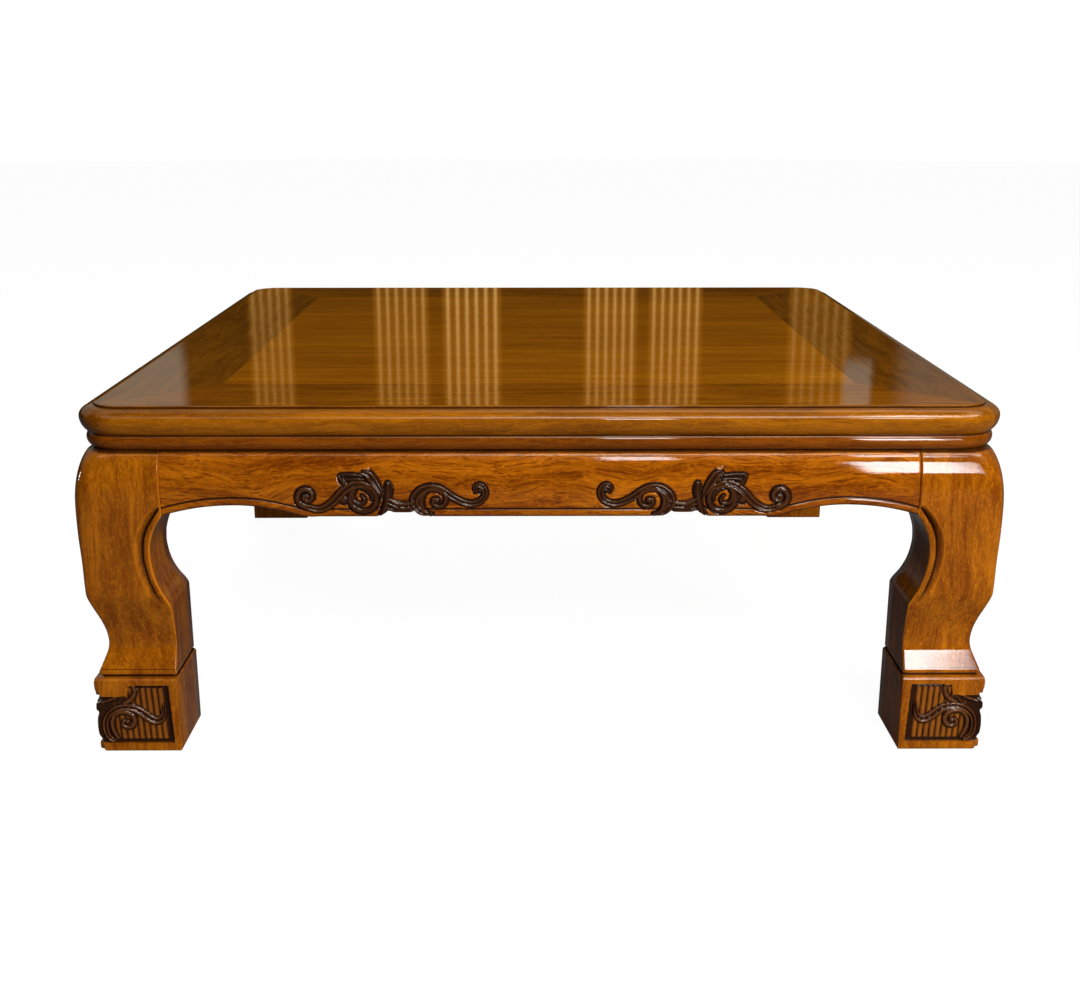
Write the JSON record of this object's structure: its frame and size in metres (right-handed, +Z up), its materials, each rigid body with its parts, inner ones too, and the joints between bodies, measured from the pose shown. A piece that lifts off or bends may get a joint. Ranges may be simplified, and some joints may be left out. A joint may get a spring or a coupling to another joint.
{
  "type": "kang table",
  "caption": "Low square kang table with a framed flush panel top, double-roll edge, bowed carved aprons and cabriole legs on carved block feet.",
  "frame": {"origin": "on the floor under the middle of the table", "axes": "+Z up, +X to the right seen from the front, front apron towards -Y"},
  "size_m": [0.8596, 0.8596, 0.338],
  "materials": {
    "top_frame_wood": "gloss lacquer over olive-brown hardwood, grain along each member",
    "panel_wood": "gloss lacquer over olive-brown hardwood, grain left to right",
    "moulding_wood": "gloss lacquer over amber-brown hardwood",
    "apron_wood": "gloss lacquer over amber-brown hardwood, dark stain in the carving",
    "leg_wood": "gloss lacquer over amber-brown hardwood, dark stain in the foot carving",
    "batten_wood": "planed, thin satin lacquer",
    "peg_wood": "plain bamboo-coloured wood, unfinished"
  },
  "bodies": {
    "root": {"apron_back": "apron_wood", "apron_front": "apron_wood", "apron_left": "apron_wood", "apron_right": "apron_wood", "batten_1": "batten_wood", "batten_2": "batten_wood", "batten_3": "batten_wood", "frame_corner_pegs": "peg_wood", "leg_back_left": "leg_wood", "leg_back_right": "leg_wood", "leg_front_left": "leg_wood", "leg_front_right": "leg_wood", "panel_board_1": "panel_wood", "panel_board_2": "panel_wood", "panel_board_3": "panel_wood", "roll_moulding_back": "moulding_wood", "roll_moulding_front": "moulding_wood", "roll_moulding_left": "moulding_wood", "roll_moulding_right": "moulding_wood", "top_frame_back": "top_frame_wood", "top_frame_front": "top_frame_wood", "top_frame_left": "top_frame_wood", "top_frame_right": "top_frame_wood"}
  },
  "joints": []
}
